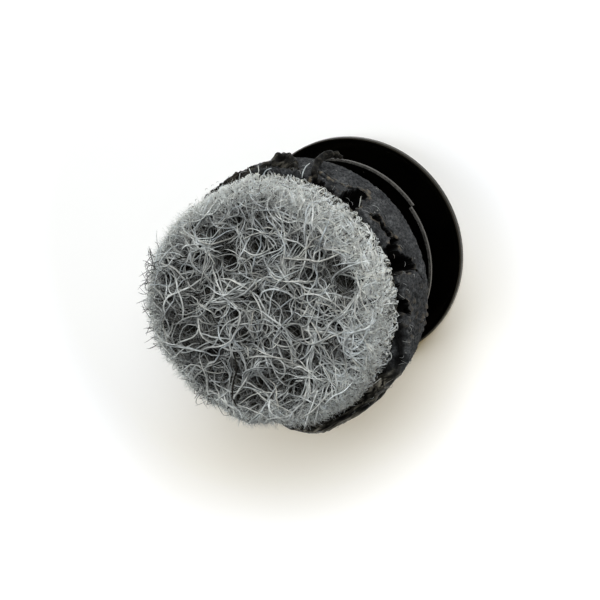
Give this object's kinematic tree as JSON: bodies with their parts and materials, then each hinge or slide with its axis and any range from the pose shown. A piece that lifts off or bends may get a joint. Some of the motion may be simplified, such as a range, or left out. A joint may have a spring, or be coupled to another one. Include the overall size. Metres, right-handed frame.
{
  "type": "felt chair leg tip",
  "caption": "Round chair leg tip: black finned plug, torn dark rubber cushion and a worn grey felt disc that slides on the floor.",
  "frame": {"origin": "centre of the flange's flat underside, on which the tip stands", "axes": "+Z along the tip's axis, from the flange to the felt; -Y towards the torn side that the picture shows"},
  "size_m": [0.0217, 0.0214, 0.0202],
  "materials": {
    "black_plastic": "gloss",
    "dark_rubber": "matt, torn and dusty",
    "grey_felt": "fuzzy wool felt"
  },
  "bodies": {
    "root": {"plug_body": "black_plastic", "rubber_cushion": "dark_rubber", "felt_pad": "grey_felt"}
  },
  "joints": []
}
